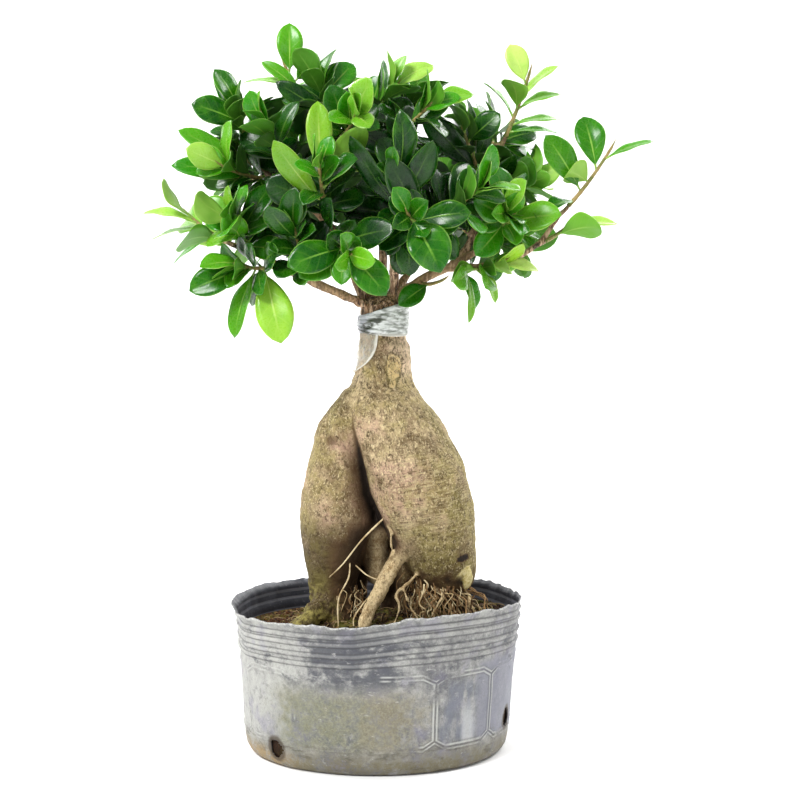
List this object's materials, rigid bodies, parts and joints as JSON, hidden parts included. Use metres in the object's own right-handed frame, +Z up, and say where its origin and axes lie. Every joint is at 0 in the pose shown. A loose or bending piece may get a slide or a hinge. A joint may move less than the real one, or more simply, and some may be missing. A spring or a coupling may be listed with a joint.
{
  "type": "potted ficus ginseng bonsai",
  "caption": "Grafted ficus with swollen roots like two legs, taped graft and a round crown of small leaves, standing in soil in a thin ribbed nursery pot.",
  "frame": {"origin": "middle of the flat underside of the pot", "axes": "+Z up out of the pot, -Y the front of the plant, +X to the right seen from the front"},
  "size_m": [0.3002, 0.1965, 0.434],
  "materials": {
    "pot_film": "matte",
    "soil": "matte",
    "bark": "matte",
    "graft_film": "satin",
    "scion_bark": "matte",
    "leaf": "satin"
  },
  "bodies": {
    "root": {"pot": "pot_film", "soil": "soil", "caudex": "bark", "graft_tape": "graft_film", "scion_limbs": "scion_bark", "shoot_arch_low": "leaf", "shoot_arch_tip": "leaf", "shoot_crown_far_right": "leaf", "shoot_crown_left": "leaf", "shoot_crown_middle": "leaf", "shoot_crown_right": "leaf", "shoot_fill_19": "leaf", "shoot_fill_20": "leaf", "shoot_fill_21": "leaf", "shoot_fill_22": "leaf", "shoot_fill_23": "leaf", "shoot_fill_24": "leaf", "shoot_fill_25": "leaf", "shoot_fill_26": "leaf", "shoot_fill_27": "leaf", "shoot_fill_28": "leaf", "shoot_fill_29": "leaf", "shoot_fill_30": "leaf", "shoot_fill_31": "leaf", "shoot_fill_32": "leaf", "shoot_fill_33": "leaf", "shoot_fill_34": "leaf", "shoot_fill_35": "leaf", "shoot_fill_36": "leaf", "shoot_fill_37": "leaf", "shoot_fill_38": "leaf", "shoot_fill_39": "leaf", "shoot_fill_40": "leaf", "shoot_fill_41": "leaf", "shoot_fill_42": "leaf", "shoot_fill_43": "leaf", "shoot_fill_44": "leaf", "shoot_front_bright": "leaf", "shoot_front_glossy": "leaf", "shoot_front_right": "leaf", "shoot_hanging_left": "leaf", "shoot_inner_left": "leaf", "shoot_low_front": "leaf", "shoot_low_left": "leaf", "shoot_low_neck": "leaf", "shoot_middle_left": "leaf", "shoot_right_low": "leaf", "shoot_right_upright": "leaf", "shoot_upper_left": "leaf", "shoot_upper_left_front": "leaf"}
  },
  "joints": []
}
